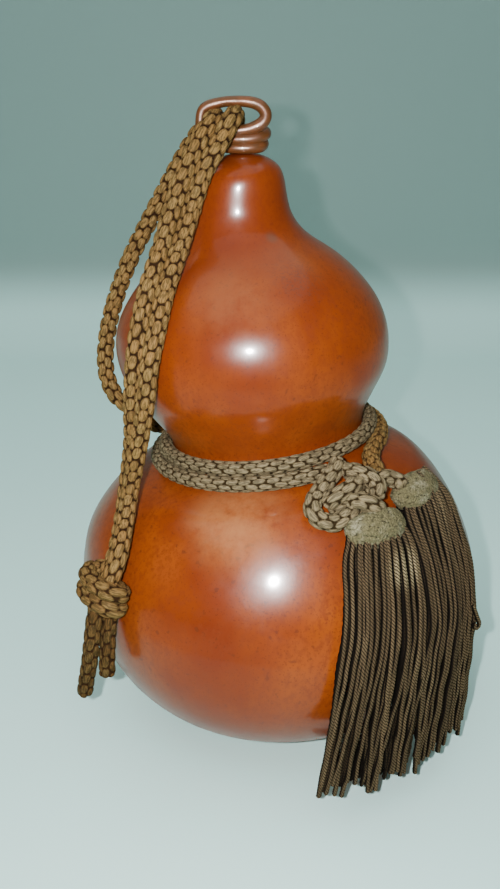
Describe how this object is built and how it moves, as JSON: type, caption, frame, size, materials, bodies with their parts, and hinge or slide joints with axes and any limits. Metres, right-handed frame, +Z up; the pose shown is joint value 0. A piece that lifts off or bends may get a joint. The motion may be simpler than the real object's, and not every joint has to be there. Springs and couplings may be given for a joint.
{
  "type": "dried bottle gourd",
  "caption": "Hourglass-shaped dried bottle gourd with a rod hanging loop, a braided cord knotted at its end, a bound waist and hanging string tassels.",
  "frame": {"origin": "centre of the small flat that the gourd stands on", "axes": "+Z up along the gourd, -Y towards the front that the picture shows, +X to its right"},
  "size_m": [0.1698, 0.1749, 0.2519],
  "materials": {
    "gourd_skin": "polished, lacquered rind",
    "loop_rod": "polished copper colour",
    "cord": "round braid",
    "band": "tight braid",
    "tassel": "twisted strings"
  },
  "bodies": {
    "root": {"gourd": "gourd_skin", "hanging_loop": "loop_rod", "cord_left": "cord", "cord_right": "cord", "cord_end_left": "cord", "cord_end_right": "cord", "end_knot": "cord", "waist_band": "band", "waist_knot": "band", "tassel_front": "tassel", "tassel_back": "tassel"}
  },
  "joints": []
}
